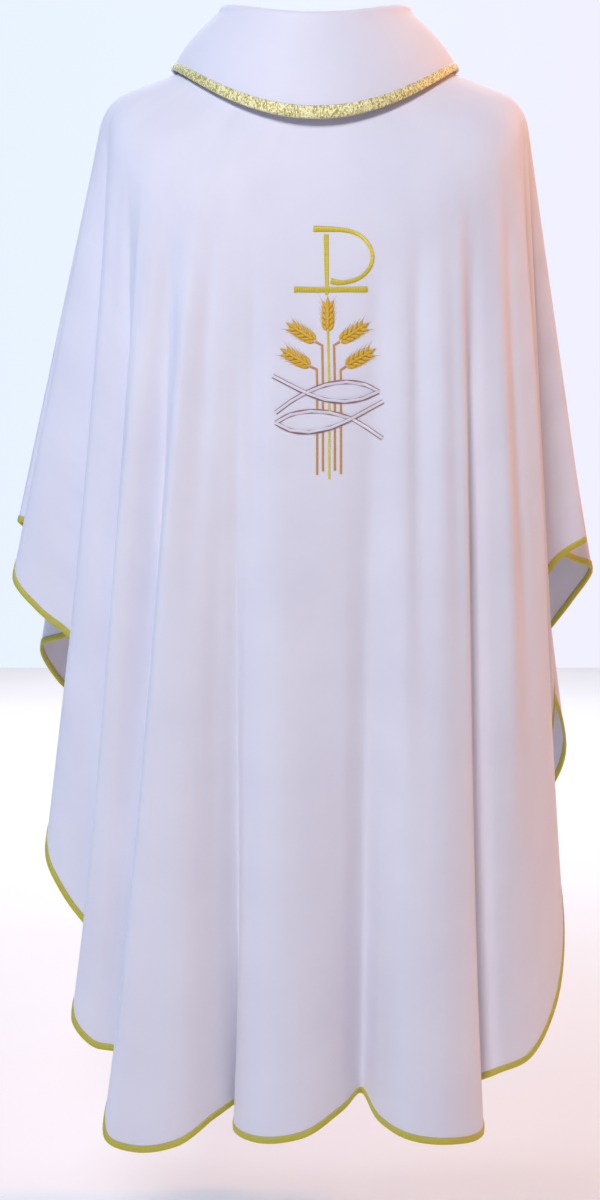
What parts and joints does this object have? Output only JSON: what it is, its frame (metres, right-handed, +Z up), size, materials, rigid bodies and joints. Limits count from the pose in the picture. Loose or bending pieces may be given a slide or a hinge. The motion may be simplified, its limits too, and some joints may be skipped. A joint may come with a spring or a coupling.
{
  "type": "chasuble",
  "caption": "Full gothic chasuble with a high roll collar, bound flowing hem and embroidered front; worn over the shoulders, open down both sides.",
  "frame": {"origin": "centre of the neck opening at the height of the shoulders", "axes": "+Z up, -Y out of the garment's front, +X to the right as one faces the front"},
  "size_m": [0.704, 0.5629, 1.3828],
  "materials": {
    "white_crepe": "smooth satin-faced crepe, dull sheen",
    "lining_cloth": "plain matt cloth",
    "gold_binding": "olive-gold metallic cloth, soft gloss",
    "gold_braid": "glittering metallic gold braid",
    "bright_gold_thread": "satin stitch in bright metallic gold thread",
    "wheat_thread": "satin stitch in orange-gold thread",
    "straw_thread": "satin stitch in brown-orange thread",
    "silver_thread": "satin stitch in silver-white thread with a mauve-brown edge"
  },
  "bodies": {
    "root": {"front_panel": "white_crepe", "back_panel": "white_crepe", "front_edge_binding": "gold_binding", "back_edge_binding": "gold_binding", "left_shoulder_seam_tape": "lining_cloth", "right_shoulder_seam_tape": "lining_cloth", "collar_fall": "white_crepe", "collar_braid": "gold_braid", "collar_interfacing": "lining_cloth", "collar_stand": "white_crepe", "neck_facing": "lining_cloth", "monogram_bowl": "bright_gold_thread", "monogram_cross": "bright_gold_thread", "wheat_ear_centre": "wheat_thread", "wheat_ear_upper_left": "wheat_thread", "wheat_ear_upper_right": "wheat_thread", "wheat_ear_lower_left": "wheat_thread", "wheat_ear_lower_right": "wheat_thread", "stalk_lower_left_top": "straw_thread", "stalk_lower_left_middle": "straw_thread", "stalk_lower_left_foot": "straw_thread", "stalk_upper_left_top": "straw_thread", "stalk_upper_left_middle": "straw_thread", "stalk_upper_left_foot": "straw_thread", "stalk_centre_top": "bright_gold_thread", "stalk_centre_middle": "bright_gold_thread", "stalk_centre_foot": "bright_gold_thread", "stalk_upper_right_top": "straw_thread", "stalk_upper_right_middle": "straw_thread", "stalk_upper_right_foot": "straw_thread", "stalk_lower_right_top": "straw_thread", "stalk_lower_right_middle": "straw_thread", "stalk_lower_right_foot": "straw_thread", "fish_upper": "silver_thread", "fish_lower": "silver_thread", "embroidery_backing": "lining_cloth"}
  },
  "joints": []
}
